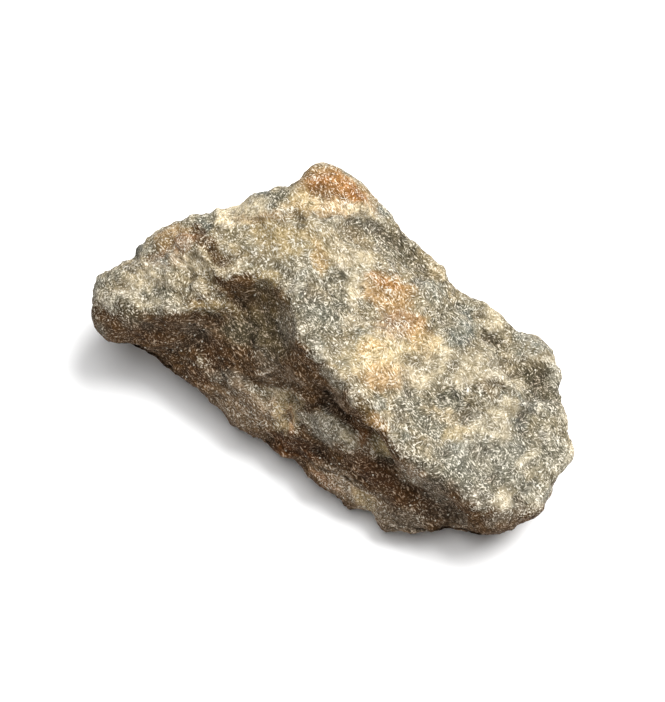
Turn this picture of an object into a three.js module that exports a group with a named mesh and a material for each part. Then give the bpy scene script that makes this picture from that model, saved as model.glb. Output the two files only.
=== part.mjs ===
// A lunar meteorite: one broken piece of breccia, lying on its widest side.
//
// The stone is described square-on to the side that shows best: x to the right, y up that side
// and z out towards the eye, in millimetres. It is then tipped and turned onto its resting spot,
// so that the finished part has +Z up, its length along X and its origin under the middle.
import * as THREE from "three";
import { ImprovedNoise } from "three/addons/math/ImprovedNoise.js";
import { mergeVertices } from "three/addons/utils/BufferGeometryUtils.js";

// Driving dimensions, in millimetres and degrees.
const TIP_BACK = 20; // from square-on to the show side to standing on the base
const TURN = 24; // brings the stone's length onto X
const REST_DEPTH = 10; // from the square-on middle down to the resting spot
const EDGE_SOFTNESS = 0.7; // how far a broken edge is rounded off
const GOUGE_SOFTNESS = 0.8; // how far the rim of a gouge is rounded off

// The broken relief that stands on the plain faces.
const SWELL = { size: 7.3, height: 0.35 };
const GRIT = { size: 1.6, height: 0.1 };
const LARGE_CHIPS = { size: 5.5, tilt: 0.12 };
const SMALL_CHIPS = { size: 2.6, tilt: 0.18 };
const CHIP_CRISPNESS = 22; // how sharply one chip gives way to the next
const FRONT_ROUGHNESS = 0.8; // how much more the side below the ridge is chipped
const OUTLINE_SHARE = 0.4; // share of the relief that is left at the outline

// The mesh: a ball, drawn out along the stone, laid on its faces and let down into its hollows.
const DETAIL = 21; // splits of each side of the starting icosahedron: 20 * (21 + 1)^2 triangles
const MIDDLE = new THREE.Vector3(-1, 0, -1.5); // a point well inside
const HALF_SIZES = new THREE.Vector3(25, 15, 9); // of the drawn-out ball
const LEAN = -27; // of its length, from x towards y
const REACH = 40; // well outside the stone
const EVENING_ROUNDS = 44; // rounds that even out the triangles
const SINKING = 5; // depth that the hollows are held back by at first
const SINKING_STEP = 0.2; // depth let go in each round
const CLOSE = 0.01; // a gap that counts as none
const CAUTION = 0.7; // share of a gap that is crossed in one step
const STEPS = 80; // steps inwards at most
const SETTLING_STEPS = 3; // steps onto the surface at most
const LEAST_SLOPE = 0.3; // guards the steps where the distance is rounded off
const PROBE = 0.02; // step over which the slope of the distance is taken

// The outline, square-on, anticlockwise from the right-hand end.
const OUTLINE = [
  [24.1, -9.6], [22.9, -2.4], [21.5, 0.4], [18.0, 2.9], [12.5, 6.5], [10.4, 8.7],
  [5.2, 14.6], [2.6, 17.4], [-0.1, 18.8], [-1.8, 18.8], [-4.7, 16.8], [-15.7, 13.1],
  [-19.0, 11.1], [-20.5, 9.4], [-22.5, 8.0], [-23.8, 6.3], [-24.2, 3.6], [-23.9, 2.0],
  [-22.5, 1.2], [-18.8, 0.2], [-13.7, -3.6], [-9.6, -7.9], [-6.8, -9.5], [-4.1, -11.1],
  [-2.2, -12.9], [0.0, -14.8], [2.7, -16.1], [4.3, -16.5], [4.9, -18.0], [6.7, -18.5],
  [12.6, -17.9], [15.5, -18.5], [18.3, -17.5], [20.1, -16.5], [21.2, -14.9], [22.6, -12.8],
].map(([x, y]) => new THREE.Vector2(x, y));

// A broken face: the way it faces and how far out it lies from the square-on middle.
const face = (x, y, z, distance) => ({ normal: new THREE.Vector3(x, y, z).normalize(), distance });

// The faces that the stone is set down on, tilted a little from one another.
const UNDERSIDE = [
  face(0.25, -0.34, -0.94, 12.4), // right-hand end
  face(-0.25, -0.34, -0.94, 12.1), // left-hand end
  face(0.05, -0.06, -1.04, 11.2), // back
  face(-0.06, -0.62, -0.84, 12.2), // front
  face(0.5, -0.35, -0.8, 16.6), // lifted right-hand tip
];

// The main block: a long slope that shows, a steep front, a shelf at the top and the hidden back.
const MAIN_BLOCK = [
  face(0.36, 0.31, 0.86, 6.6), // long slope
  face(-0.55, -0.59, 0.59, 6.7), // steep front
  face(-0.05, -0.35, 0.94, 10.8), // worn lower end of the ridge
  face(-0.12, 0.42, 0.9, 8.9), // shelf behind the ridge
  face(-0.22, 0.78, 0.55, 13.4), // bevel at the upper left
  face(-0.72, -0.55, 0.42, 5.7), // step down to the shoulder
  face(0.6, 0.75, -0.28, 15.7), // hidden back
  face(-0.35, 0.88, -0.32, 18.6), // hidden back, left half
  face(0.3, 0.6, -0.75, 13.6), // lower edge of the back
  face(0.95, -0.1, -0.2, 25.2), // right-hand end
  face(0.3, -0.9, -0.3, 21.8), // lower end
  ...UNDERSIDE,
];

// The shoulder: a lower block that makes the left-hand end.
const SHOULDER = [
  face(-0.29, 0.31, 0.9, 9), // top
  face(0.12, -0.8, 0.59, -3.2), // front, in shade
  face(-0.69, -0.25, -0.68, 16.6), // underside that rises to the tip
  face(-0.95, 0.1, 0.3, 24.2), // tip
  face(-0.4, 0.85, -0.3, 18.4), // hidden back
  face(1, 0, 0, -7), // inside the main block
  ...UNDERSIDE,
];

// The apron: a ledge that stands out along the foot of the steep front.
const APRON = [
  face(-0.38, -0.35, 0.86, 4.4), // top
  face(-0.62, -0.75, -0.2, 12.9), // front
  face(0.3, -0.9, -0.3, 21.8), // lower end
  face(0.7, 0.7, 0.1, -2.2), // inside the main block
  face(-0.9, 0.4, 0, 14), // inside the shoulder
  ...UNDERSIDE,
];

// Pieces that broke out and left flat-sided hollows; each face looks out of the lost piece.
const BREAKS = [
  [ // deep hollow under the head of the ridge
    face(0.85, 0.3, -0.43, -5.45), // wall under the ridge
    face(-0.05, 0.85, -0.52, 3.8), // wall under the shelf
    face(0.25, 0.1, -0.96, -4.0), // floor
    face(-0.85, -0.4, -0.3, 5.3), // left-hand side
    face(-0.3, -0.8, -0.5, 2.5), // foot
  ],
  [ // shoulder broken from the right-hand end
    face(-0.14, -0.14, -1, -1.25), // floor
    face(-0.75, -0.6, -0.3, -11.6), // side along the slope
    face(-0.1, -0.9, -0.4, 2.6), // side towards the lower end
  ],
];

// A gouge: the round-bottomed hollow left where a flake came off, from one point to another.
const gouge = (from, to, radius) => ({ line: new THREE.Line3(
  new THREE.Vector3(...from), new THREE.Vector3(...to)), radius });

const GOUGES = [
  gouge([-1.0, -5.6, 5.2], [4.5, -11.2, 5.0], 2.5), // hollow under the middle of the ridge
  gouge([7.0, -14.2, 5.0], [12.0, -17.4, 4.2], 2.2), // hollow under its lower end
  gouge([-2.1, -1.8, 9.4], [0.1, -5.0, 8.4], 2.3), // flake off the ridge
  gouge([6.9, -12.2, 7.2], [9.4, -15.6, 6.0], 2.4), // flake off its lower end
  gouge([2.9, 12.7, 3.0], [9.4, 9.7, 1.3], 2.4), // groove below the crown
  gouge([9.6, -2.6, 7.4], [13.6, -5.2, 6.6], 3), // shallow hollow on the slope
  gouge([-14.3, 13.2, 3.6], [-11.2, 8.9, 5.2], 1.0), // crack beside the step
  gouge([-7.2, -8.0, 1.2], [-3.8, -9.6, 1.2], 0.9), // crack across the ledge
  gouge([-1.4, -9.4, 2.4], [2.4, -12.4, 2.8], 1.0), // crack along the ledge
  gouge([6, 14.5, -6], [14, 8.6, -7], 3.2), // hollow in the back
  gouge([-15, 13.6, -4.5], [-8, 16.4, -6.5], 2.6), // hollow in the back, left half
  gouge([-19, 2.5, -6.5], [-13, -2.5, -9], 3), // hollow under the shoulder
  gouge([24.4, -11.5, -4], [21, -17, -6.5], 2.6), // hollow in the right-hand end
];

// A lump: part of a ball that stands out of the slope.
const lump = (x, y, z, radius) => ({ middle: new THREE.Vector3(x, y, z), radius });

const LUMPS = [
  lump(13.9, -4.5, -1.6, 5.1), // beside the broken shoulder
  lump(3.4, -2.5, 1.3, 5.5), // middle of the slope
  lump(-3.4, 12.6, -3.2, 7.6), // under the crown
];

const smoothMax = (a, b, soft) => Math.max(a, b) + Math.max(soft - Math.abs(a - b), 0) ** 2 / (4 * soft);
const smoothMin = (a, b, soft) => -smoothMax(-a, -b, soft);

function blockDistance(p, faces) {
  let distance = -REACH;
  for (const f of faces) distance = smoothMax(distance, f.normal.dot(p) - f.distance, EDGE_SOFTNESS);
  return distance;
}

const nearest = new THREE.Vector3();
function gougeDistance(p, { line, radius }) {
  return line.closestPointToPoint(p, true, nearest).distanceTo(p) - radius;
}

// Signed distance from the outline, negative inside.
function outlineDistance(p) {
  let gap = Infinity;
  let inside = false;
  OUTLINE.forEach((a, i) => {
    const b = OUTLINE[(i + 1) % OUTLINE.length];
    const along = THREE.MathUtils.clamp(
      ((p.x - a.x) * (b.x - a.x) + (p.y - a.y) * (b.y - a.y)) / a.distanceToSquared(b), 0, 1);
    gap = Math.min(gap, Math.hypot(p.x - a.x - along * (b.x - a.x), p.y - a.y - along * (b.y - a.y)));
    if (a.y > p.y !== b.y > p.y && p.x < a.x + ((p.y - a.y) * (b.x - a.x)) / (b.y - a.y)) inside = !inside;
  });
  return inside ? -gap : gap;
}

// Signed distance from the stone before it is chipped, negative inside, with its hollows held back.
function plainDistance(p, held) {
  let distance = smoothMin(blockDistance(p, MAIN_BLOCK), blockDistance(p, SHOULDER), EDGE_SOFTNESS);
  distance = smoothMin(distance, blockDistance(p, APRON), EDGE_SOFTNESS);
  for (const { middle, radius } of LUMPS) {
    distance = smoothMin(distance, middle.distanceTo(p) - radius, 2 * EDGE_SOFTNESS);
  }
  for (const lost of BREAKS) distance = smoothMax(distance, -blockDistance(p, lost) - held, EDGE_SOFTNESS);
  for (const g of GOUGES) distance = smoothMax(distance, -gougeDistance(p, g) - held, GOUGE_SOFTNESS);
  return smoothMax(distance, outlineDistance(p), EDGE_SOFTNESS);
}

const noise = new ImprovedNoise();
const wave = (p, { size, height }) => height * noise.noise(p.x / size, p.y / size, p.z / size);

// A number from 0 to 1 that is always the same for the same cell and throw.
function dice(x, y, z, throwNumber) {
  const s = Math.sin(x * 127.1 + y * 311.7 + z * 74.7 + throwNumber * 53.3) * 43758.5453;
  return s - Math.floor(s);
}

// Chipping: flat flakes about one size across, each tilted its own way, as a height.
function chips(p, { size, tilt }) {
  const cell = [p.x, p.y, p.z].map((v) => Math.floor(v / size));
  let total = 0;
  let height = 0;
  for (let i = -1; i < 2; i++) {
    for (let j = -1; j < 2; j++) {
      for (let k = -1; k < 2; k++) {
        const [x, y, z] = [cell[0] + i, cell[1] + j, cell[2] + k];
        const dx = p.x / size - x - dice(x, y, z, 1);
        const dy = p.y / size - y - dice(x, y, z, 2);
        const dz = p.z / size - z - dice(x, y, z, 3);
        const weight = Math.exp(-CHIP_CRISPNESS * (dx * dx + dy * dy + dz * dz));
        total += weight;
        height += weight * (dx * (dice(x, y, z, 4) - 0.5) + dy * (dice(x, y, z, 5) - 0.5)
          + dz * (dice(x, y, z, 6) - 0.5));
      }
    }
  }
  return (2 * tilt * size * height) / total;
}

// How far the broken surface stands out from the plain one: most below the ridge, least at the outline.
function relief(p) {
  const front = THREE.MathUtils.smoothstep(-p.x - p.y, 1, 6);
  const inner = THREE.MathUtils.smoothstep(-outlineDistance(p), 0, 2);
  const chipped = (1 + FRONT_ROUGHNESS * front) * (chips(p, LARGE_CHIPS) + chips(p, SMALL_CHIPS));
  return THREE.MathUtils.lerp(OUTLINE_SHARE, 1, inner) * (wave(p, SWELL) + chipped + wave(p, GRIT));
}

// The outermost point of the stone along a ray from its middle, before the hollows sink in.
function pointAlong(direction) {
  const point = new THREE.Vector3();
  let reach = REACH;
  for (let step = 0; step < STEPS; step++) {
    point.copy(MIDDLE).addScaledVector(direction, reach);
    const gap = plainDistance(point, SINKING);
    if (gap < CLOSE) break;
    reach -= CAUTION * gap;
  }
  return point;
}

// Moves a point straight onto the surface of the stone.
const slope = new THREE.Vector3();
const probe = new THREE.Vector3();
function settle(point, held) {
  for (let step = 0; step < SETTLING_STEPS; step++) {
    const gap = plainDistance(point, held);
    if (Math.abs(gap) < CLOSE) break;
    slope.set(
      plainDistance(probe.copy(point).setX(point.x + PROBE), held) - gap,
      plainDistance(probe.copy(point).setY(point.y + PROBE), held) - gap,
      plainDistance(probe.copy(point).setZ(point.z + PROBE), held) - gap).divideScalar(PROBE);
    point.addScaledVector(slope, -gap / Math.max(slope.lengthSq(), LEAST_SLOPE));
  }
  return point;
}

// The points that each point shares a triangle side with.
function neighboursOf(geometry) {
  const index = geometry.index.array;
  const neighbours = Array.from({ length: geometry.getAttribute("position").count }, () => new Set());
  for (let i = 0; i < index.length; i += 3) {
    for (let k = 0; k < 3; k++) {
      neighbours[index[i + k]].add(index[i + ((k + 1) % 3)]);
      neighbours[index[i + k]].add(index[i + ((k + 2) % 3)]);
    }
  }
  return neighbours;
}

function stoneGeometry() {
  const ball = new THREE.IcosahedronGeometry(1, DETAIL);
  ball.deleteAttribute("normal");
  ball.deleteAttribute("uv");
  const geometry = mergeVertices(ball);
  const position = geometry.getAttribute("position");
  const neighbours = neighboursOf(geometry);
  const drawnOut = new THREE.Matrix4().makeRotationZ(THREE.MathUtils.degToRad(LEAN)).scale(HALF_SIZES);
  const points = neighbours.map((_, i) =>
    pointAlong(new THREE.Vector3().fromBufferAttribute(position, i).applyMatrix4(drawnOut).normalize()));
  for (let round = 0; round < EVENING_ROUNDS; round++) {
    const means = neighbours.map((around) => {
      const mean = new THREE.Vector3();
      for (const n of around) mean.add(points[n]);
      return mean.divideScalar(around.size);
    });
    const held = Math.max(SINKING - round * SINKING_STEP, 0);
    means.forEach((mean, i) => points[i].copy(settle(mean, held)));
  }
  points.forEach((p, i) => position.setXYZ(i, p.x, p.y, p.z));
  geometry.computeVertexNormals();
  const normal = new THREE.Vector3();
  points.forEach((p, i) => {
    normal.fromBufferAttribute(geometry.getAttribute("normal"), i);
    p.addScaledVector(normal, relief(p));
    position.setXYZ(i, p.x, p.y, p.z);
  });
  geometry.deleteAttribute("normal");
  return geometry;
}

// Tips and turns the stone upright, flattens the resting spot and puts the origin under its middle.
function setDown(geometry) {
  geometry.rotateX(THREE.MathUtils.degToRad(TIP_BACK));
  geometry.rotateZ(THREE.MathUtils.degToRad(TURN));
  const position = geometry.getAttribute("position");
  for (let i = 0; i < position.count; i++) position.setZ(i, Math.max(position.getZ(i), -REST_DEPTH));
  geometry.computeBoundingBox();
  const middle = geometry.boundingBox.getCenter(new THREE.Vector3());
  geometry.translate(-middle.x, -middle.y, REST_DEPTH);
  return geometry;
}

const stone = new THREE.Mesh(
  setDown(stoneGeometry()),
  new THREE.MeshStandardMaterial({ color: 0x9a8c78, roughness: 0.8, metalness: 0 }));
stone.name = "meteorite";
const group = new THREE.Group();
group.add(stone);

export default group;
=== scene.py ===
"""A lunar meteorite: one broken piece of breccia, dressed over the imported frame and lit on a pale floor."""

import logging
import math
from dataclasses import dataclass
from enum import Enum
from typing import Any

import bmesh
import bpy
import numpy as np
from mathutils import Matrix, Vector, noise
from mathutils.bvhtree import BVHTree

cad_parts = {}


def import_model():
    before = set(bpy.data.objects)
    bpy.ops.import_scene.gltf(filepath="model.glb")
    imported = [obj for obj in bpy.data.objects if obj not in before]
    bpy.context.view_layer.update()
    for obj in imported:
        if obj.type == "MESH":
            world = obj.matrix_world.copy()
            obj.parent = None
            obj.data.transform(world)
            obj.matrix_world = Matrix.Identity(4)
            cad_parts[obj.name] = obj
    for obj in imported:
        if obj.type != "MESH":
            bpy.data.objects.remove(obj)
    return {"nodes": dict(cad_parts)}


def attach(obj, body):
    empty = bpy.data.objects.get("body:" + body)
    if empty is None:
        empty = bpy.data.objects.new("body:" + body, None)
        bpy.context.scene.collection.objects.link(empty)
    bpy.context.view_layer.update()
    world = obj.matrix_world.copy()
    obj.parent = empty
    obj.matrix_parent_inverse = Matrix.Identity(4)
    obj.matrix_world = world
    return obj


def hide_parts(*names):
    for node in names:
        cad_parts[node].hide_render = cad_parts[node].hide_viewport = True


MM = 0.001  # one millimetre, in metres
FLAKE_LOTS = 97.0  # spreads neighbouring flakes over unlike random numbers
HALF = Vector((0.5, 0.5, 0.5))  # the middle of a range from 0 to 1, each way
CLIFF = 0.12  # half the run of a step's cliff, as a share of the step's half width
SWEEP = 1.5  # the power by which the side of a crest or a fall steepens
WANDER_SEED = 3  # makes the edges of stains and marks wander the same way every time

log = logging.getLogger("meteorite")


def linear(colour: str) -> tuple[float, float, float, float]:
    """Turns an sRGB hex colour to linear.

    Args:
        colour: Six hex digits after a hash sign.

    Returns:
        Linear red, green and blue, and an alpha of 1.
    """
    parts = [int(colour[i : i + 2], 16) / 255 for i in (1, 3, 5)]
    red, green, blue = [c / 12.92 if c <= 0.04045 else ((c + 0.055) / 1.055) ** 2.4 for c in parts]
    return red, green, blue, 1.0


def add_node(
    tree: bpy.types.NodeTree,
    kind: str,
    settings: dict[str | int, Any] | None = None,
    links: dict[str | int, bpy.types.NodeSocket] | None = None,
) -> bpy.types.Node:
    """Adds a node to a tree, with its settings and links.

    Args:
        tree: The node tree.
        kind: The node's type, without its ShaderNode prefix.
        settings: Values, by the name of a property or by the name or number of an input.
        links: Output sockets that feed the node, by the name or number of an input.

    Returns:
        The new node.
    """
    node = tree.nodes.new("ShaderNode" + kind)
    for key, value in (settings or {}).items():
        if isinstance(key, str) and hasattr(node, key):
            setattr(node, key, value)
        else:
            node.inputs[key].default_value = value
    for key, socket in (links or {}).items():
        tree.links.new(socket, node.inputs[key])
    return node


def smooth_step(values: np.ndarray, low: float, high: float) -> np.ndarray:
    """Eases values from 0 at low to 1 at high.

    Args:
        values: The values.
        low: The value that gives 0.
        high: The value that gives 1.

    Returns:
        The eased values.
    """
    t = np.clip((values - low) / (high - low), 0.0, 1.0)
    return t * t * (3.0 - 2.0 * t)


@dataclass(frozen=True)
class Ramp:
    """A range of values, and the range that it is turned into."""

    start: float
    end: float
    low: float = 0.0
    high: float = 1.0

    def settings(self) -> dict[str | int, Any]:
        """Returns the ramp as the settings of a node."""
        return {"From Min": self.start, "From Max": self.end, "To Min": self.low, "To Max": self.high}


@dataclass(frozen=True)
class ShowSide:
    """The side of the stone that faces the camera, with x to the right, y up it and z out, in mm."""

    azimuth: float = 24.0
    elevation: float = 70.0
    middle: tuple[float, float, float] = (-0.7, -2.2, 10.0)
    distance: float = 400.0

    def axes(self) -> Matrix:
        """Returns the matrix that turns the show side's directions into the part's."""
        tip = Matrix.Rotation(math.radians(90.0 - self.elevation), 3, "X")
        return Matrix.Rotation(math.radians(self.azimuth), 3, "Z") @ tip

    def place(self, x: float, y: float, z: float = 0.0) -> Vector:
        """Finds a point of the show side in the part's frame.

        Args:
            x: Millimetres to the right of the middle.
            y: Millimetres up from the middle.
            z: Millimetres out from the middle.

        Returns:
            The point in metres.
        """
        return (Vector(self.middle) + self.axes() @ Vector((x, y, z))) * MM

    def eye(self) -> Vector:
        """Returns where the show side is seen from, in metres."""
        return self.place(0.0, 0.0, self.distance)

    def on_surface(self, surface: BVHTree, x: float, y: float) -> Vector:
        """Finds what shows of a surface at a place on the show side.

        Args:
            surface: The surface.
            x: Millimetres to the right of the middle.
            y: Millimetres up from the middle.

        Returns:
            The point of the surface in metres, or the nearest one where the line of sight misses it.
        """
        aim = self.place(x, y)
        hit = surface.ray_cast(self.eye(), aim - self.eye())[0]
        return hit if hit is not None else surface.find_nearest(aim)[0]


class Tint(Enum):
    """The colours of the stains in the breccia, and of the painted shade and light laid among them."""

    RUST = "#875c30"
    RED_RUST = "#6a4019"
    PEACH = "#99794f"
    PINK = "#8a6346"
    CREAM = "#b2a589"
    TAN = "#a8946a"
    DUST = "#7f6c56"
    GREY_DUST = "#6f685a"
    PALE_GREY = "#817e72"
    BLUE_GREY = "#565448"
    OLIVE = "#443e2e"
    OLIVE_BROWN = "#514228"
    BROWN = "#453019"
    DARK_BROWN = "#3b2410"


@dataclass(frozen=True)
class Stain:
    """A patch of colour in the stone, an ellipse on the show side, in mm and degrees."""

    tint: Tint
    x: float
    y: float
    length: float
    width: float
    angle: float
    strength: float


# Each stain lies over those before it: its tint, place, half length, half width, angle and strength.
CROWN_STAINS = (
    Stain(Tint.PEACH, 0.5, 16.3, 5.0, 2.4, -20, 0.75),
    Stain(Tint.RUST, 0.6, 16.6, 2.8, 1.2, -20, 0.75),
    Stain(Tint.RED_RUST, 2.7, 15.7, 1.6, 0.7, -15, 0.6),
    Stain(Tint.RED_RUST, -1.6, 17.0, 1.2, 0.8, -15, 0.45),
    Stain(Tint.BROWN, -0.7, 15.9, 1.6, 0.7, -10, 0.6),
    Stain(Tint.OLIVE, -1.0, 18.1, 2.4, 0.8, 0, 0.4),
    Stain(Tint.CREAM, -1.4, 14.7, 2.4, 1.0, -15, 0.5),
    Stain(Tint.CREAM, 2.6, 14.0, 2.4, 0.9, -20, 0.75),
    Stain(Tint.PEACH, -1.6, 14.3, 4.0, 0.8, -6, 0.4),
    Stain(Tint.TAN, -3.4, 15.1, 1.8, 1.3, 0, 0.4),
    Stain(Tint.BLUE_GREY, -6.0, 15.1, 1.8, 1.4, 30, 0.65),
    Stain(Tint.CREAM, -9.2, 14.0, 2.8, 1.5, 5, 0.95),
    Stain(Tint.PEACH, -7.2, 13.5, 3.4, 0.6, 0, 0.4),
    Stain(Tint.OLIVE_BROWN, -3.2, 13.4, 1.0, 0.4, -20, 0.5),
)

LEFT_STAINS = (
    Stain(Tint.TAN, -7.5, 10.8, 4.6, 2.6, -10, 0.25),
    Stain(Tint.TAN, -6.4, 11.7, 1.8, 1.4, -10, 0.45),
    Stain(Tint.TAN, -4.3, 10.8, 1.6, 2.2, 0, 0.35),
    Stain(Tint.BLUE_GREY, -9.2, 11.6, 1.5, 1.3, 0, 0.4),
    Stain(Tint.OLIVE, -4.3, 7.0, 1.4, 1.2, -40, 0.3),
    Stain(Tint.BLUE_GREY, -13.0, 13.4, 1.6, 0.8, 20, 0.3),
    Stain(Tint.PEACH, -16.2, 11.4, 2.2, 1.4, 20, 0.5),
    Stain(Tint.PINK, -14.8, 11.0, 1.5, 0.9, 20, 0.4),
    Stain(Tint.BROWN, -14.5, 12.0, 1.4, 0.6, 20, 0.3),
    Stain(Tint.CREAM, -14.2, 8.9, 1.8, 1.1, -20, 0.5),
    # painted shadow: darkens the line of the crack, where its step's shadow falls
    Stain(Tint.BROWN, -12.3, 10.5, 3.0, 0.9, -46, 0.65),
    Stain(Tint.OLIVE, -17.6, 10.4, 1.6, 1.2, 30, 0.4),
    Stain(Tint.TAN, -1.5, 10.6, 2.8, 1.2, -75, 0.45),
    Stain(Tint.PEACH, -1.3, 9.4, 1.8, 0.8, -75, 0.35),
    Stain(Tint.BLUE_GREY, -22.3, 7.1, 2.5, 1.6, 40, 0.4),
    Stain(Tint.CREAM, -18.7, 7.1, 2.2, 1.3, 20, 0.55),
    Stain(Tint.BLUE_GREY, -17.7, 5.6, 1.6, 1.0, 0, 0.6),
    Stain(Tint.BROWN, -15.2, 6.6, 2.6, 1.4, -20, 0.2),
    Stain(Tint.OLIVE, -20.2, 4.3, 2.2, 1.2, -5, 0.6),
    Stain(Tint.OLIVE, -16.2, 4.1, 2.8, 0.9, -5, 0.15),
    Stain(Tint.TAN, -12.3, 4.3, 2.4, 0.7, 5, 0.3),
    Stain(Tint.PINK, -17.2, 9.2, 2.4, 1.1, 0, 0.25),
    Stain(Tint.OLIVE, -11.6, 4.7, 1.5, 1.0, 0, 0.3),
    Stain(Tint.GREY_DUST, -19.6, 2.7, 1.8, 0.8, -15, 0.25),
    Stain(Tint.CREAM, -18.7, 4.9, 1.4, 0.8, 0, 0.35),
    Stain(Tint.GREY_DUST, -13.4, 2.2, 2.2, 0.8, -15, 0.2),
    Stain(Tint.GREY_DUST, -23.2, 2.2, 1.0, 0.9, 0, 0.45),
)

SLOPE_STAINS = (
    Stain(Tint.PALE_GREY, 15.0, -10.2, 6.0, 3.4, -15, 0.45),
    Stain(Tint.PALE_GREY, 22.4, -2.2, 1.6, 2.0, 0, 0.4),
    Stain(Tint.BLUE_GREY, 21.5, -8.6, 3.6, 2.6, 60, 0.4),
    Stain(Tint.BLUE_GREY, 13.0, -11.9, 4.0, 1.4, -35, 0.5),
    Stain(Tint.BLUE_GREY, 3.9, 12.0, 2.6, 1.2, -30, 0.45),
    Stain(Tint.OLIVE, 7.2, 9.8, 3.4, 1.5, -38, 0.6),
    Stain(Tint.CREAM, 2.2, 9.2, 2.6, 1.3, -10, 0.5),
    Stain(Tint.BLUE_GREY, 5.3, 9.3, 1.4, 1.1, 0, 0.25),
    Stain(Tint.BLUE_GREY, 0.3, 6.6, 2.2, 1.5, -40, 0.4),
    Stain(Tint.BLUE_GREY, -0.9, 3.3, 2.2, 1.4, -55, 0.55),
    Stain(Tint.BLUE_GREY, 0.5, 4.4, 1.7, 1.2, 0, 0.4),
    Stain(Tint.CREAM, 2.7, 6.4, 1.5, 1.6, 0, 0.6),
    Stain(Tint.PEACH, 5.8, 5.7, 2.8, 2.2, -25, 0.65),
    Stain(Tint.RUST, 5.3, 7.0, 1.8, 0.8, -15, 0.5),
    Stain(Tint.PINK, 6.7, 2.6, 2.8, 1.4, 0, 0.4),
    Stain(Tint.PEACH, 9.0, 1.4, 2.4, 1.3, -65, 0.5),
    Stain(Tint.CREAM, 10.4, -0.4, 1.8, 2.0, 0, 0.5),
    Stain(Tint.CREAM, 5.0, -0.6, 3.4, 2.8, 0, 0.45),
    Stain(Tint.TAN, 4.4, -0.2, 3.4, 2.4, 0, 0.5),
    Stain(Tint.PEACH, 5.5, -2.6, 3.0, 1.3, 0, 0.6),
    Stain(Tint.PEACH, 3.9, 0.4, 1.6, 0.9, 20, 0.4),
    Stain(Tint.CREAM, 0.6, -0.3, 1.6, 1.2, -45, 0.25),
    Stain(Tint.TAN, 8.8, 0.6, 2.2, 1.8, 0, 0.35),
    Stain(Tint.CREAM, 8.0, -2.7, 2.0, 1.3, 0, 0.6),
    Stain(Tint.BLUE_GREY, 11.5, 3.3, 2.6, 1.6, -50, 0.45),
    Stain(Tint.OLIVE, 14.7, 3.5, 1.2, 0.9, 0, 0.7),
    Stain(Tint.CREAM, 16.0, 3.2, 1.8, 1.7, 0, 0.55),
    Stain(Tint.OLIVE, 16.1, 0.8, 1.8, 0.7, -35, 0.55),
    Stain(Tint.CREAM, 14.6, -1.3, 3.0, 1.2, -15, 0.3),
    Stain(Tint.CREAM, 13.8, -2.5, 2.2, 1.0, 0, 0.45),
    Stain(Tint.CREAM, 17.9, -2.8, 2.8, 0.7, -55, 0.5),
    Stain(Tint.BROWN, 15.7, -3.7, 1.0, 1.2, 0, 0.4),
    Stain(Tint.OLIVE, 20.5, -3.3, 2.8, 2.2, -50, 0.7),
    Stain(Tint.BLUE_GREY, 17.8, -10.6, 2.6, 1.6, -10, 0.4),
    Stain(Tint.CREAM, 20.0, 0.1, 1.6, 0.9, -30, 0.3),
    Stain(Tint.BLUE_GREY, 11.6, -4.9, 2.2, 1.3, -20, 0.7),
    Stain(Tint.CREAM, 17.3, -5.5, 2.0, 1.3, 10, 0.6),
    Stain(Tint.CREAM, 15.6, -7.6, 2.6, 1.1, 0, 0.35),
    Stain(Tint.BLUE_GREY, 9.6, -7.4, 2.6, 1.1, -30, 0.6),
    Stain(Tint.TAN, 12.4, -8.3, 1.8, 0.9, 20, 0.4),
    Stain(Tint.OLIVE, 17.3, -12.5, 1.8, 0.9, 40, 0.5),
    Stain(Tint.CREAM, 19.4, -10.9, 1.8, 0.7, 40, 0.3),
    Stain(Tint.PEACH, 4.4, -7.2, 1.4, 1.0, 0, 0.4),
    Stain(Tint.TAN, 0.6, -2.5, 1.4, 1.1, -45, 0.4),
    Stain(Tint.BLUE_GREY, 7.8, -9.9, 1.2, 1.2, 0, 0.3),
    Stain(Tint.BLUE_GREY, 17.2, -12.3, 1.6, 1.2, 0, 0.3),
    Stain(Tint.BLUE_GREY, 7.7, -5.1, 1.4, 1.1, 0, 0.3),
    Stain(Tint.BLUE_GREY, -2.0, 4.4, 1.3, 3.2, 0, 0.2),
    Stain(Tint.GREY_DUST, 5.3, -10.0, 1.2, 1.3, -45, 0.55),
    Stain(Tint.BLUE_GREY, 14.8, -5.0, 1.2, 1.0, 0, 0.3),
    Stain(Tint.GREY_DUST, 14.6, -14.6, 2.2, 1.0, -20, 0.8),
    Stain(Tint.RUST, 22.2, -14.4, 0.8, 0.8, 0, 0.4),
    Stain(Tint.CREAM, 17.4, -14.8, 1.6, 0.8, 20, 0.5),
    Stain(Tint.BLUE_GREY, 7.6, -5.2, 1.8, 1.3, 0, 0.35),
    Stain(Tint.BLUE_GREY, 9.9, -12.2, 2.8, 1.0, -38, 0.5),
    Stain(Tint.BLUE_GREY, 12.4, -12.4, 1.7, 1.2, -35, 0.4),
    Stain(Tint.BLUE_GREY, 22.2, -5.4, 1.6, 1.4, 0, 0.35),
    Stain(Tint.BLUE_GREY, 22.2, -10.2, 1.6, 1.8, 0, 0.35),
)

# Stains on the front, the side turned from the key light, partly painted light and shade: the dark browns
# paint its shade, and some pale tints paint light over faces that the form leaves in shade.
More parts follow.
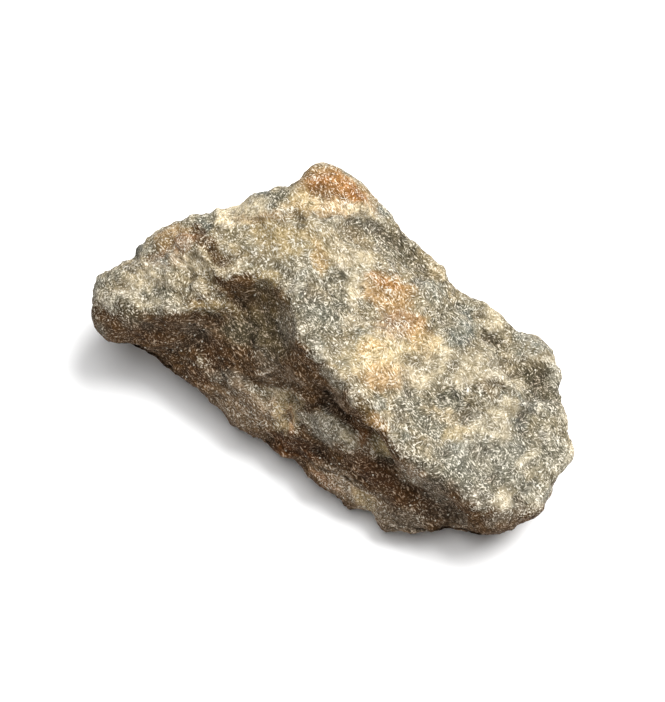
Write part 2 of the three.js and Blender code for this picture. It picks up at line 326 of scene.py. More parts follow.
FRONT_STAINS_AND_SHADING = (
    Stain(Tint.BROWN, 16.8, -16.9, 4.0, 1.5, 12, 0.4),
    # painted shade: darkens the hollow under the ridge, where the ridge's shadow falls
    Stain(Tint.OLIVE_BROWN, -6.7, 3.5, 4.6, 3.0, -52, 0.85),
    Stain(Tint.BROWN, -9.2, 5.9, 1.8, 1.3, -30, 0.6),
    Stain(Tint.BROWN, -9.1, 6.8, 1.7, 1.0, 20, 0.7),
    # painted light: lifts the shade where the hollow's rim turns down
    Stain(Tint.TAN, -6.5, 7.3, 1.5, 1.0, 0, 0.45),
    Stain(Tint.OLIVE, -6.4, 1.6, 3.0, 2.0, -50, 0.5),
    Stain(Tint.OLIVE, -2.9, 3.0, 1.0, 3.0, 25, 0.4),
    Stain(Tint.GREY_DUST, -4.6, 2.4, 1.4, 2.0, 20, 0.4),
    Stain(Tint.OLIVE, -9.4, 2.0, 2.0, 1.3, -30, 0.8),
    Stain(Tint.DARK_BROWN, -11.6, -0.3, 2.2, 1.3, -30, 0.4),
    Stain(Tint.DARK_BROWN, -18.6, 1.6, 2.0, 0.9, -18, 0.4),
    Stain(Tint.DARK_BROWN, -13.9, -2.6, 2.0, 1.0, -35, 0.4),
    Stain(Tint.GREY_DUST, -10.6, -2.6, 2.6, 1.0, -22, 0.35),
    Stain(Tint.GREY_DUST, -6.5, -1.2, 1.6, 1.0, -40, 0.3),
    Stain(Tint.DUST, -8.6, -5.8, 4.0, 2.0, -28, 0.55),
    # painted light: this and the next lift the shade that the form casts here
    Stain(Tint.DUST, -4.6, -5.6, 1.9, 2.2, -30, 0.85),
    Stain(Tint.TAN, -4.4, -5.9, 1.5, 2.2, -30, 0.6),
    Stain(Tint.DUST, -6.7, -2.8, 1.4, 0.9, -35, 0.5),
    Stain(Tint.DUST, 2.9, -9.9, 1.5, 1.2, -40, 0.55),
    Stain(Tint.TAN, 5.2, -9.7, 1.3, 1.2, -45, 0.7),
    Stain(Tint.DUST, 7.6, -12.2, 1.6, 1.0, -45, 0.55),
    Stain(Tint.CREAM, -5.6, -4.4, 1.6, 0.5, -35, 0.4),
    Stain(Tint.PINK, -4.2, -6.8, 1.6, 0.5, -80, 0.5),
    Stain(Tint.GREY_DUST, -0.9, -7.8, 3.2, 1.2, -35, 0.8),
    Stain(Tint.CREAM, 1.2, -8.6, 1.0, 0.7, -40, 0.5),
    Stain(Tint.DARK_BROWN, -3.6, -9.8, 3.4, 1.2, -20, 0.95),
    Stain(Tint.DUST, 2.2, -14.2, 4.4, 1.2, -33, 0.85),
    Stain(Tint.RED_RUST, -4.4, -9.9, 1.5, 1.0, -35, 0.4),
    Stain(Tint.DUST, -4.3, -2.8, 1.5, 1.1, -40, 0.3),
    # painted light: lifts the shadow under an overhang
    Stain(Tint.DUST, 0.4, -5.0, 1.5, 1.0, -42, 0.35),
    Stain(Tint.DUST, 11.6, -16.4, 2.2, 1.1, -25, 0.35),
    Stain(Tint.PINK, -0.6, -13.0, 1.6, 0.6, -35, 0.3),
    Stain(Tint.GREY_DUST, 6.8, -16.9, 3.0, 1.3, -8, 0.3),
    Stain(Tint.DARK_BROWN, 0.8, -5.8, 3.0, 1.2, -42, 0.4),
    Stain(Tint.DARK_BROWN, 4.2, -12.0, 3.6, 1.2, -42, 0.85),
    Stain(Tint.RED_RUST, 3.0, -8.6, 1.0, 0.8, 0, 0.4),
    Stain(Tint.OLIVE_BROWN, 3.0, -5.5, 1.5, 0.8, -45, 0.6),
    Stain(Tint.GREY_DUST, 0.2, -2.8, 1.8, 0.9, -50, 0.7),
    Stain(Tint.TAN, 3.1, -14.8, 1.5, 0.7, -33, 0.4),
    Stain(Tint.GREY_DUST, 9.6, -13.8, 3.0, 0.7, -32, 0.4),
    Stain(Tint.DARK_BROWN, 9.0, -15.6, 3.6, 1.1, -25, 0.35),
    Stain(Tint.GREY_DUST, 17.5, -16.4, 2.4, 0.8, 25, 0.4),
    Stain(Tint.DUST, 12.6, -17.0, 1.6, 0.8, 0, 0.4),
)

# All stains, with the painted light and shade of the front among them
STAINS = CROWN_STAINS + LEFT_STAINS + SLOPE_STAINS + FRONT_STAINS_AND_SHADING


@dataclass(frozen=True)
class WeatheringAndShade:
    """The stains in the stone, some of them painted light and shade, and a painted brown shade over the faces
    turned down.
    """

    side: ShowSide
    stains: tuple[Stain, ...] = STAINS
    rim: tuple[float, float] = (1.35, 0.55)  # where a stain begins and is whole, in half lengths or widths
    depth: float = 1.5  # mm that every stain reaches into the stone, beyond its own length
    wander: tuple[tuple[float, float], ...] = ((1.8, 0.7), (0.6, 0.35))  # mm between bends, mm bent
    # painted shade: a brown laid over the faces turned down, away from the key light
    shade_coat: Tint = Tint.BROWN
    shade_turn: tuple[float, float] = (-0.16, 0.44)  # how far down a face turns where the painted brown shade begins and is whole
    shade_wander: float = 0.34  # how far that wanders
    shade_share: float = 0.92
    least_cover: float = 0.001  # cover under which a stain's colour can't be seen

    def colours(self, places: np.ndarray, turned: np.ndarray, surface: BVHTree) -> np.ndarray:
        """Finds the stain and the painted brown shade at each point of a surface.

        Args:
            places: The points in millimetres.
            turned: How far each point is turned down.
            surface: The surface.

        Returns:
            The colour of the stain, and how much of the stone it covers, for each point.
        """
        drift = np.array([self.drift(Vector(place)) for place in places])
        laid = np.zeros((len(places), 4))
        # painted shade: brown over the faces turned down, away from the key light
        edge = smooth_step(turned + self.shade_wander * drift[:, 0], *self.shade_turn)
        self.lay(laid, self.shade_coat, self.shade_share * edge)
        for stain in self.stains:
            self.lay(laid, stain.tint, self.cover(stain, places + drift, surface))
        laid[:, :3] /= np.maximum(laid[:, 3:], self.least_cover)
        return laid

    def drift(self, place: Vector) -> Vector:
        """Returns how far an edge wanders at a place, both in millimetres."""
        return sum((noise.noise_vector(place / size) * bend for size, bend in self.wander), Vector())

    def cover(self, stain: Stain, places: np.ndarray, surface: BVHTree) -> np.ndarray:
        """Finds how much of each point a stain covers.

        Args:
            stain: The stain.
            places: The points in millimetres.
            surface: The surface that the stain is on.

        Returns:
            Shares of 1.
        """
        turn = np.array(self.side.axes() @ Matrix.Rotation(math.radians(stain.angle), 3, "Z"))
        centre = np.array(self.side.on_surface(surface, stain.x, stain.y)) / MM
        reach = (stain.length, stain.width, self.depth + max(stain.length, stain.width))
        away = np.linalg.norm((places - centre) @ turn / reach, axis=1)
        return stain.strength * smooth_step(away, *self.rim)

    def lay(self, laid: np.ndarray, tint: Tint, share: np.ndarray) -> None:
        """Lays a tint over the stains below.

        Args:
            laid: The stains below, each colour times its cover.
            tint: The tint.
            share: How much of each point it covers.
        """
        laid *= 1.0 - share[:, None]
        laid += share[:, None] * np.array(linear(tint.value))


@dataclass(frozen=True)
class BrokenBreccia:
    """Lunar breccia, broken and never polished.

    Grains of pale feldspar and dark glass, a fraction of a millimetre across, are welded in a grey-brown
    matrix. They give the eye a fine salt-and-pepper sparkle over slow changes of colour, and no gloss. The
    colour also holds painted glints, painted highlights on crests, and painted shade in hollows and on faces
    turned down.
    """

    matrix_olive: str = "#6c6451"
    matrix_tan: str = "#7f7156"
    matrix_grey: str = "#585950"
    # pale feldspar, and also the colour of the painted glints
    feldspar_and_glint: str = "#d9d3c4"
    stained_feldspar: str = "#c5af97"
    dark_clast: str = "#48443e"
    # also the colour of the painted highlight on crests
    pale_clast_and_highlight: str = "#b4ab97"
    # painted shade: the colour that darkens the hollows
    hollow_shade_colour: str = "#362d23"
    swirl: float = 7.0  # mm across a change of matrix colour
    swirl_detail: float = 3.0  # layers of finer noise in it
    warmth: Ramp = Ramp(0.4, 0.62)  # noise over which olive matrix turns tan
    mottle: float = 3.0  # mm across a mottle of grey
    mottle_detail: float = 4.0  # layers of finer noise in it
    greyness: Ramp = Ramp(0.5, 0.68)  # noise over which a mottle turns grey
    clast: float = 1.5  # mm across a broken clast
    clast_drift: float = 3.2  # mm between the furthest that the edge of a clast wanders either way
    clast_bends: float = 1.6  # mm between bends of that edge
    clast_detail: float = 4.0  # layers of finer noise in it
    clast_jaggedness: float = 0.7  # how much each layer counts beside the one before
    dark_clasts: Ramp = Ramp(0.8, 0.95, high=0.45)  # draws that make a clast dark, and how much it covers
    pale_clasts: Ramp = Ramp(0.8, 0.95, high=0.4)  # and those that make it pale
    crest_highlight: Ramp = Ramp(0.04, 0.4, high=0.4)  # mm that a crest stands out, and how much painted highlight makes it paler
    hollow_shade: Ramp = Ramp(-0.04, -0.4, high=0.6)  # the same for a hollow, and how much painted shade darkens it
    grain_size: tuple[float, float, float] = (0.42, 0.14, 0.14)  # mm along and across a grain
    grain_leans: tuple[tuple[float, float, float], ...] = (  # degrees, for each way that grains lie
        (10, 20, 35),
        (-25, 15, 95),
        (30, -20, 150),
    )
    grain_detail: float = 1.0  # layers of finer noise in it
    grain_patch: float = 0.8  # mm across a patch of grains that lie one way
    grain_edge: Ramp = Ramp(0.48, 0.54)  # noise over which one patch gives way to the next
    grain_tones: Ramp = Ramp(0.3, 0.7)  # heights of the darkest and the palest grains
    dark_grain: tuple[float, float, float] = (0.36, 0.34, 0.27)  # what the darkest leave of the colour
    pale_grain: tuple[float, float, float] = (1.58, 1.6, 1.68)  # and what the palest make of it
    grain_depth: float = 0.05  # mm that a grain stands out
    grain_strength: float = 0.8  # how much of that the light shows
    blotch: float = 0.9  # mm across a lighter or darker blotch
    blotch_detail: float = 2.0  # layers of finer noise in it
    blotch_tones: Ramp = Ramp(0.35, 0.65, 0.72, 1.24)  # noise, and what it makes of the colour
    ground: Ramp = Ramp(0.03, 0.11)  # brightness of dark and of pale ground
    strokes: Ramp = Ramp(0.56, 0.7, high=0.8)  # heights of a bare grain's edge and top, and how bare it is
    lath_spacing: float = 0.55  # mm between laths of feldspar
    lath_bend: float = 0.3  # how far they wind
    lath_line: Ramp = Ramp(0.035, 0.008)  # noise, from that at its middle, where a lath begins and is whole
    lath_patch: float = 0.9  # mm across a patch of laths
    lath_slice: float = 5.5  # the slice of the noise that the patches come from
    lath_edge: Ramp = Ramp(0.56, 0.68)  # noise over which a patch begins on dark ground
    dark_thinning: float = 0.06  # how much less noise it takes on pale ground
    feldspar_share: float = 0.84  # how much of its own colour bare feldspar has on pale ground
    dark_feldspar_share: float = 0.67  # and on dark ground
    glint: float = 0.45  # mm between crystal faces, some of which get a painted glint
    glint_edge: Ramp = Ramp(0.27, 0.13, high=0.8)  # where a painted glint ends and is whole, and how bright it is
    glint_draw: float = 0.88  # faces with a higher draw get a painted glint
    stain_start: float = -0.2  # cover at which a stain begins to show on the lowest grain
    stain_break: float = 0.8  # how much more cover it takes on the highest grain
    stain_span: float = 0.6  # and how much more again hides the colour below
    roughness: float = 0.86
    specular: float = 0.12

    def material(self) -> bpy.types.Material:
        """Returns the finish as a material."""
        material = bpy.data.materials.new("lunar_breccia_broken")
        material.use_nodes = True
        tree = material.node_tree
        tree.nodes.clear()
        coordinates = add_node(tree, "TexCoord")
        place = add_node(
            tree, "VectorMath", {"operation": "SCALE", "Scale": 1 / MM}, {0: coordinates.outputs["Object"]}
        ).outputs[0]
        grain = self.grains(tree, place)
        relief = add_node(tree, "Attribute", {"attribute_name": Meteorite.RELIEF}).outputs["Fac"]
        colour = self.clasts(tree, self.matrix(tree, place), self.wander(tree, place))
        # painted highlight on crests, and below painted shade in hollows, both from the relief
        colour = self.highlighted_crests(tree, colour, relief)
        colour = self.stained_and_shaded(tree, colour, grain)
        colour = self.shaded_hollows(tree, colour, relief)
        colour = self.grained(tree, colour, grain, place)
        colour = self.painted_glints(tree, colour, place)
        self.surface(tree, colour, grain)
        return material

    def grains(self, tree: bpy.types.NodeTree, place: bpy.types.NodeSocket) -> bpy.types.NodeSocket:
        """Draws long grains, which lie one way in one patch and another way in the next.

        Args:
            tree: The node tree.
            place: The place in millimetres.

        Returns:
            The grains' height.
        """
        height = None
        for number, lean in enumerate(self.grain_leans):
            along = add_node(
                tree,
                "Mapping",
                {
                    "vector_type": "TEXTURE",
                    "Rotation": [math.radians(turn) for turn in lean],
                    "Scale": self.grain_size,
                },
                {"Vector": place},
            )
            lying = add_node(
                tree, "TexNoise", {"Scale": 1.0, "Detail": self.grain_detail}, {"Vector": along.outputs[0]}
            )
            if height is None:
                height = lying.outputs["Fac"]
                continue
            patches = add_node(
                tree,
                "TexNoise",
                {"noise_dimensions": "4D", "W": float(number), "Scale": 1 / self.grain_patch},
                {"Vector": place},
            )
            patch = add_node(
                tree, "MapRange", self.grain_edge.settings(), {"Value": patches.outputs["Fac"]}
            )
            height = add_node(
                tree, "Mix", {}, {0: patch.outputs[0], 2: height, 3: lying.outputs["Fac"]}
            ).outputs[0]
        return height

    def wander(self, tree: bpy.types.NodeTree, place: bpy.types.NodeSocket) -> bpy.types.NodeSocket:
        """Shifts a place about, so that edges drawn at it wander.

        Args:
            tree: The node tree.
            place: The place in millimetres.

        Returns:
            The shifted place.
        """
        drift = add_node(
            tree,
            "TexNoise",
            {
                "Scale": 1 / self.clast_bends,
                "Detail": self.clast_detail,
                "Roughness": self.clast_jaggedness,
            },
            {"Vector": place},
        )
        middle = add_node(
            tree, "VectorMath", {"operation": "SUBTRACT", 1: HALF}, {0: drift.outputs["Color"]}
        )
        return add_node(
            tree,
            "VectorMath",
            {"operation": "MULTIPLY_ADD", 1: (self.clast_drift,) * 3},
            {0: middle.outputs[0], 2: place},
        ).outputs[0]

    def matrix(self, tree: bpy.types.NodeTree, place: bpy.types.NodeSocket) -> bpy.types.NodeSocket:
        """Colours the matrix between the clasts.

        Args:
            tree: The node tree.
            place: The place in millimetres.

        Returns:
            The colour.
        """
        swirl = add_node(
            tree, "TexNoise", {"Scale": 1 / self.swirl, "Detail": self.swirl_detail}, {"Vector": place}
        )
        warm = add_node(tree, "MapRange", self.warmth.settings(), {"Value": swirl.outputs["Fac"]})
        mottle = add_node(
            tree, "TexNoise", {"Scale": 1 / self.mottle, "Detail": self.mottle_detail}, {"Vector": place}
        )
        grey = add_node(tree, "MapRange", self.greyness.settings(), {"Value": mottle.outputs["Fac"]})
        base = add_node(
            tree,
            "Mix",
            {"data_type": "RGBA", 6: linear(self.matrix_olive), 7: linear(self.matrix_tan)},
            {0: warm.outputs[0]},
        )
        return add_node(
            tree,
            "Mix",
            {"data_type": "RGBA", 7: linear(self.matrix_grey)},
            {0: grey.outputs[0], 6: base.outputs[2]},
        ).outputs[2]

    def stained_and_shaded(
        self, tree: bpy.types.NodeTree, colour: bpy.types.NodeSocket, grain: bpy.types.NodeSocket
    ) -> bpy.types.NodeSocket:
        """Lays the stains and the painted brown shade over a colour, broken up by the grain.

        Args:
            tree: The node tree.
            colour: The colour below.
            grain: The grain's height.

        Returns:
            The stained and shaded colour.
        """
        # the stains, with the painted brown shade on the faces turned down
        stain = add_node(tree, "Attribute", {"attribute_name": Meteorite.STAIN_AND_SHADE})
        low = add_node(
            tree,
            "Math",
            {"operation": "MULTIPLY_ADD", 1: self.stain_break, 2: self.stain_start},
            {0: grain},
        ).outputs[0]
        high = add_node(tree, "Math", {"operation": "ADD", 1: self.stain_span}, {0: low}).outputs[0]
        share = add_node(
            tree, "MapRange", {}, {"Value": stain.outputs["Alpha"], "From Min": low, "From Max": high}
        )
        return add_node(
            tree,
            "Mix",
            {"data_type": "RGBA"},
            {0: share.outputs[0], 6: colour, 7: stain.outputs["Color"]},
        ).outputs[2]

    def clasts(
        self, tree: bpy.types.NodeTree, colour: bpy.types.NodeSocket, wandering: bpy.types.NodeSocket
    ) -> bpy.types.NodeSocket:
        """Scatters broken dark and pale clasts over a colour.

        Args:
            tree: The node tree.
            colour: The colour below.
            wandering: The shifted place in millimetres.

        Returns:
            The colour with clasts in it.
        """
        cells = add_node(tree, "TexVoronoi", {"Scale": 1 / self.clast}, {"Vector": wandering})
        lot = add_node(tree, "SeparateColor", {}, {0: cells.outputs["Color"]})
        dark = add_node(tree, "MapRange", self.dark_clasts.settings(), {"Value": lot.outputs[0]})
        pale = add_node(tree, "MapRange", self.pale_clasts.settings(), {"Value": lot.outputs[1]})
        darker = add_node(
            tree, "Mix", {"data_type": "RGBA", 7: linear(self.dark_clast)}, {0: dark.outputs[0], 6: colour}
        )
        return add_node(
            tree,
            "Mix",
            {"data_type": "RGBA", 7: linear(self.pale_clast_and_highlight)},
            {0: pale.outputs[0], 6: darker.outputs[2]},
        ).outputs[2]

    def highlighted_crests(
        self, tree: bpy.types.NodeTree, colour: bpy.types.NodeSocket, relief: bpy.types.NodeSocket
    ) -> bpy.types.NodeSocket:
        """Brightens the crests with a painted highlight.

        Args:
            tree: The node tree.
            colour: The colour below.
            relief: How far the surface stands out, in millimetres.

        Returns:
            The colour with its painted highlight.
        """
        # painted highlight: crests that stand out are made paler
        crest_highlight = add_node(tree, "MapRange", self.crest_highlight.settings(), {"Value": relief}).outputs[0]
        return add_node(
            tree, "Mix", {"data_type": "RGBA", 7: linear(self.pale_clast_and_highlight)}, {0: crest_highlight, 6: colour}
        ).outputs[2]

    def shaded_hollows(
        self, tree: bpy.types.NodeTree, colour: bpy.types.NodeSocket, relief: bpy.types.NodeSocket
    ) -> bpy.types.NodeSocket:
        """Darkens the hollows with painted shade.

        Args:
            tree: The node tree.
            colour: The colour below.
            relief: How far the surface stands out, in millimetres.

        Returns:
            The colour with its painted shade.
        """
        # painted shade: hollows are made darker
        hollow_shade = add_node(tree, "MapRange", self.hollow_shade.settings(), {"Value": relief}).outputs[0]
        return add_node(
            tree, "Mix", {"data_type": "RGBA", 7: linear(self.hollow_shade_colour)}, {0: hollow_shade, 6: colour}
        ).outputs[2]

    def grained(
        self,
        tree: bpy.types.NodeTree,
        colour: bpy.types.NodeSocket,
        grain: bpy.types.NodeSocket,
        place: bpy.types.NodeSocket,
    ) -> bpy.types.NodeSocket:
        """Breaks a colour up into dark and pale grains, and draws laths of feldspar over them.

        Args:
            tree: The node tree.
            colour: The colour below.
            grain: The grain's height.
            place: The place in millimetres.

        Returns:
            The colour with its grain.
        """
        ground = add_node(tree, "RGBToBW", {}, {0: colour})
        bright = add_node(tree, "MapRange", self.ground.settings(), {"Value": ground.outputs[0]}).outputs[0]
        strokes = add_node(tree, "MapRange", self.strokes.settings(), {"Value": grain})
        laths = self.laths(tree, place, bright)
        pale = add_node(tree, "Math", {"operation": "MAXIMUM"}, {0: strokes.outputs[0], 1: laths})
        bare = add_node(
            tree,
            "MapRange",
            {"To Min": self.dark_feldspar_share, "To Max": self.feldspar_share},
            {"Value": bright},
        )
        share = add_node(tree, "Math", {"operation": "MULTIPLY"}, {0: pale.outputs[0], 1: bare.outputs[0]})
        crystal = add_node(
            tree,
            "Mix",
            {"data_type": "RGBA", 6: linear(self.stained_feldspar), 7: linear(self.feldspar_and_glint)},
            {0: bright},
        )
        return add_node(
            tree,
            "Mix",
            {"data_type": "RGBA"},
            {0: share.outputs[0], 6: self.toned(tree, colour, grain, place), 7: crystal.outputs[2]},
        ).outputs[2]

    def toned(
        self,
        tree: bpy.types.NodeTree,
        colour: bpy.types.NodeSocket,
        grain: bpy.types.NodeSocket,
        place: bpy.types.NodeSocket,
    ) -> bpy.types.NodeSocket:
        """Darkens and lightens a colour by single grains and by broader blotches.

        Args:
            tree: The node tree.
            colour: The colour below.
            grain: The grain's height.
            place: The place in millimetres.

        Returns:
            The toned colour.
        """
        fine = add_node(tree, "MapRange", self.grain_tones.settings(), {"Value": grain})
        shade = add_node(
            tree,
            "Mix",
            {"data_type": "RGBA", 6: (*self.dark_grain, 1.0), 7: (*self.pale_grain, 1.0)},
            {0: fine.outputs[0]},
        )
        shaded = add_node(tree, "VectorMath", {"operation": "MULTIPLY"}, {0: colour, 1: shade.outputs[2]})
        blotches = add_node(
            tree, "TexNoise", {"Scale": 1 / self.blotch, "Detail": self.blotch_detail}, {"Vector": place}
        )
        broad = add_node(tree, "MapRange", self.blotch_tones.settings(), {"Value": blotches.outputs["Fac"]})
        return add_node(
            tree, "VectorMath", {"operation": "SCALE"}, {0: shaded.outputs[0], "Scale": broad.outputs[0]}
        ).outputs[0]

    def painted_glints(
        self, tree: bpy.types.NodeTree, colour: bpy.types.NodeSocket, place: bpy.types.NodeSocket
    ) -> bpy.types.NodeSocket:
        """Paints a few small glints of crystal faces over a colour, as pale specks in the colour itself.

        Args:
            tree: The node tree.
            colour: The colour below.
            place: The place in millimetres.

        Returns:
            The colour with its painted glints.
        """
        # painted glint: pale specks laid in the colour
        faces = add_node(tree, "TexVoronoi", {"Scale": 1 / self.glint}, {"Vector": place})
        near = add_node(tree, "MapRange", self.glint_edge.settings(), {"Value": faces.outputs["Distance"]})
        lot = add_node(tree, "SeparateColor", {}, {0: faces.outputs["Color"]})
        few = add_node(tree, "Math", {"operation": "GREATER_THAN", 1: self.glint_draw}, {0: lot.outputs[0]})
        glint = add_node(tree, "Math", {"operation": "MULTIPLY"}, {0: near.outputs[0], 1: few.outputs[0]})
        return add_node(
            tree, "Mix", {"data_type": "RGBA", 7: linear(self.feldspar_and_glint)}, {0: glint.outputs[0], 6: colour}
        ).outputs[2]

    def laths(
        self, tree: bpy.types.NodeTree, place: bpy.types.NodeSocket, bright: bpy.types.NodeSocket
    ) -> bpy.types.NodeSocket:
        """Draws fine winding laths, broken into patches that are fewer on dark ground.

        Args:
            tree: The node tree.
            place: The place in millimetres.
            bright: How bright the ground is.

        Returns:
            The share of each place that is lath.
        """
        winding = add_node(
            tree,
            "TexNoise",
            {"Scale": 1 / self.lath_spacing, "Detail": 0.0, "Distortion": self.lath_bend},
            {"Vector": place},
        )
        centred = add_node(tree, "Math", {"operation": "SUBTRACT", 1: HALF.x}, {0: winding.outputs["Fac"]})
        across = add_node(tree, "Math", {"operation": "ABSOLUTE"}, {0: centred.outputs[0]})
        line = add_node(tree, "MapRange", self.lath_line.settings(), {"Value": across.outputs[0]})
        patches = add_node(
            tree,
            "TexNoise",
            {"noise_dimensions": "4D", "W": self.lath_slice, "Scale": 1 / self.lath_patch},
            {"Vector": place},
        )
        fewer = add_node(
            tree,
            "Math",
            {"operation": "MULTIPLY_ADD", 1: self.dark_thinning},
            {0: bright, 2: patches.outputs["Fac"]},
        )
        patch = add_node(tree, "MapRange", self.lath_edge.settings(), {"Value": fewer.outputs[0]})
        return add_node(
            tree, "Math", {"operation": "MULTIPLY"}, {0: line.outputs[0], 1: patch.outputs[0]}
        ).outputs[0]

    def surface(
        self, tree: bpy.types.NodeTree, colour: bpy.types.NodeSocket, grain: bpy.types.NodeSocket
    ) -> None:
        """Ends the tree in a rough stone surface.

        Args:
            tree: The node tree.
            colour: The surface's colour.
            grain: The grain's height.
        """
        bump = add_node(
            tree,
            "Bump",
            {"Strength": self.grain_strength, "Distance": self.grain_depth * MM},
            {"Height": grain},
        )
        shader = add_node(
            tree,
            "BsdfPrincipled",
            {"Roughness": self.roughness, "Specular IOR Level": self.specular},
            {"Base Color": colour, "Normal": bump.outputs[0]},
        )
        add_node(tree, "OutputMaterial", {}, {"Surface": shader.outputs[0]})


@dataclass(frozen=True)
class Chipping:
    """Flakes of one size off the surface, each a shallow scoop that meets the next in a sharp edge."""

    size: float  # mm across a flake
    depth: float  # mm deep
    tilt: float = 0.5  # rise over run of a flake's floor, as a share of its depth
    stagger: float = 0.25  # how far apart the floors of flakes lie, as a share of their depth
    level: float = 0.3  # how far up a flake the surface was, as a share of its depth

    def height(self, place: Vector) -> float:
        """Finds how far the flaked surface stands out at a place.

        Args:
            place: The place in millimetres.

        Returns:
            The height in millimetres.
        """
        here = place / self.size
        gaps, middles = noise.voronoi(here)
        floors = []
        for gap, middle in zip(gaps, middles):
            lot = noise.cell_vector(middle * FLAKE_LOTS)
            lean = (lot - HALF).dot(here - middle)
            floors.append(gap * gap + self.tilt * lean + self.stagger * lot.x)
        return self.depth * (min(floors) - self.level)


class Scar(Enum):
    """The kinds of mark on the stone's form."""

    DENT = "a round-bottomed hollow"
    BOSS = "a rounded rise"
    CRACK = "a sharp furrow"
    CREST = "a sharp ridge"
    FALL = "ground that falls away on the lower side of its line"
    STEP = "a low cliff, with its high ground on the upper side of its line"

    def profile(self, along: np.ndarray, across: np.ndarray) -> np.ndarray:
        """Gives the mark's height over its own length and width.

        Args:
            along: Places along the mark, from -1 to 1.
            across: Places across the mark, from -1 to 1.

        Returns:
            Heights from -1 to 1.
        """
        bowl = np.clip(1.0 - along**2 - across**2, 0.0, None) ** 2
        if self is Scar.DENT:
            return -bowl
        if self is Scar.BOSS:
            return bowl
        ends = np.clip(1.0 - along**2, 0.0, None)
        if self is Scar.CRACK:
            return -ends * np.clip(1.0 - np.abs(across), 0.0, None)
        if self is Scar.CREST:
            return ends * np.clip(1.0 - np.abs(across), 0.0, None) ** SWEEP
        if self is Scar.FALL:
            return -ends * np.clip(-across, 0.0, 1.0) ** SWEEP
        return ends * smooth_step(across, -CLIFF, CLIFF) * np.clip(1.0 - across, 0.0, None)


@dataclass(frozen=True)
class Mark:
    """A mark on the stone's form, placed on the show side, in mm and degrees."""

    scar: Scar
    x: float
    y: float
    length: float
    width: float
    angle: float
    height: float


# Each mark: its kind, place, half length, half width, angle and height.
MARKS = (
    Mark(Scar.STEP, 0.5, 13.6, 4.4, 2.4, 2, 0.5),
    Mark(Scar.CRACK, -8.2, 13.0, 4.0, 0.6, 4, 0.3),
    Mark(Scar.CRACK, -12.4, 10.4, 3.4, 0.9, -46, 0.3),
    Mark(Scar.CREST, -13.5, 4.2, 5.0, 2.2, 4, 0.4),
    Mark(Scar.FALL, -20.5, 3.8, 7.5, 3.2, -4, 1.2),
    Mark(Scar.DENT, -7.4, 4.2, 3.6, 2.8, -45, 0.6),
    Mark(Scar.BOSS, -3.9, 2.2, 2.8, 1.4, -60, 0.5),
    Mark(Scar.FALL, 14.5, -15.0, 7.0, 2.4, -27, 1.0),
    Mark(Scar.DENT, 5.2, 11.3, 4.8, 1.6, -33, 0.7),
    Mark(Scar.BOSS, 16.2, -3.4, 3.0, 2.6, 0, 0.6),
    Mark(Scar.STEP, 17.7, -3.1, 2.6, 1.8, 123, 0.8),
    Mark(Scar.DENT, 20.2, -2.1, 3.0, 2.5, -50, 1.0),
    Mark(Scar.STEP, 20.2, -5.1, 2.8, 1.6, 180, 0.7),
    Mark(Scar.DENT, 11.7, -4.4, 2.6, 1.6, 0, 0.4),
    Mark(Scar.DENT, 15.8, -3.8, 1.3, 1.0, 0, 0.35),
    Mark(Scar.BOSS, 15.6, -5.7, 2.8, 1.0, 10, 0.4),
    Mark(Scar.BOSS, 13.7, -7.9, 3.5, 0.9, 30, 0.35),
    Mark(Scar.DENT, 12.2, -9.4, 3.0, 0.9, 30, 0.35),
    Mark(Scar.CREST, 16.7, -10.4, 3.5, 1.2, 35, 0.4),
    Mark(Scar.DENT, 18.7, -8.9, 3.0, 0.9, 35, 0.35),
    Mark(Scar.DENT, 15.7, -12.9, 3.0, 1.1, 25, 0.4),
    Mark(Scar.DENT, 5.6, 5.1, 1.1, 0.8, 0, 0.25),
    Mark(Scar.DENT, 14.7, 3.5, 1.0, 0.8, 0, 0.35),
    Mark(Scar.BOSS, 16.2, 3.6, 1.2, 1.0, 0, 0.3),
    Mark(Scar.DENT, 16.1, 0.8, 2.0, 0.8, -35, 0.4),
    Mark(Scar.BOSS, -8.2, -5.7, 5.0, 2.4, -24, 1.0),
    Mark(Scar.STEP, -5.4, -8.4, 2.6, 1.6, -8, 0.7),
    Mark(Scar.BOSS, -0.4, -4.7, 2.4, 1.2, -42, 0.4),
    Mark(Scar.BOSS, -1.2, -7.4, 3.4, 1.6, -35, 0.6),
    Mark(Scar.STEP, 1.0, -7.9, 2.4, 1.8, 120, 0.4),
    Mark(Scar.DENT, 8.0, -12.4, 4.8, 1.6, -38, 0.5),
    Mark(Scar.DENT, -2.1, -10.1, 4.0, 1.3, -15, 0.9),
    Mark(Scar.CRACK, -5.3, -9.5, 2.2, 0.7, -25, 0.6),
    Mark(Scar.CRACK, 0.0, -10.4, 2.4, 0.7, -40, 0.6),
    Mark(Scar.STEP, 0.8, -13.1, 4.5, 1.8, 153, 0.6),
)


@dataclass(frozen=True)
class Push:
    """A push at the stone's outline or at an edge on it, across the show side, in mm."""

    x: float
    y: float
    reach: float
    right: float
    up: float


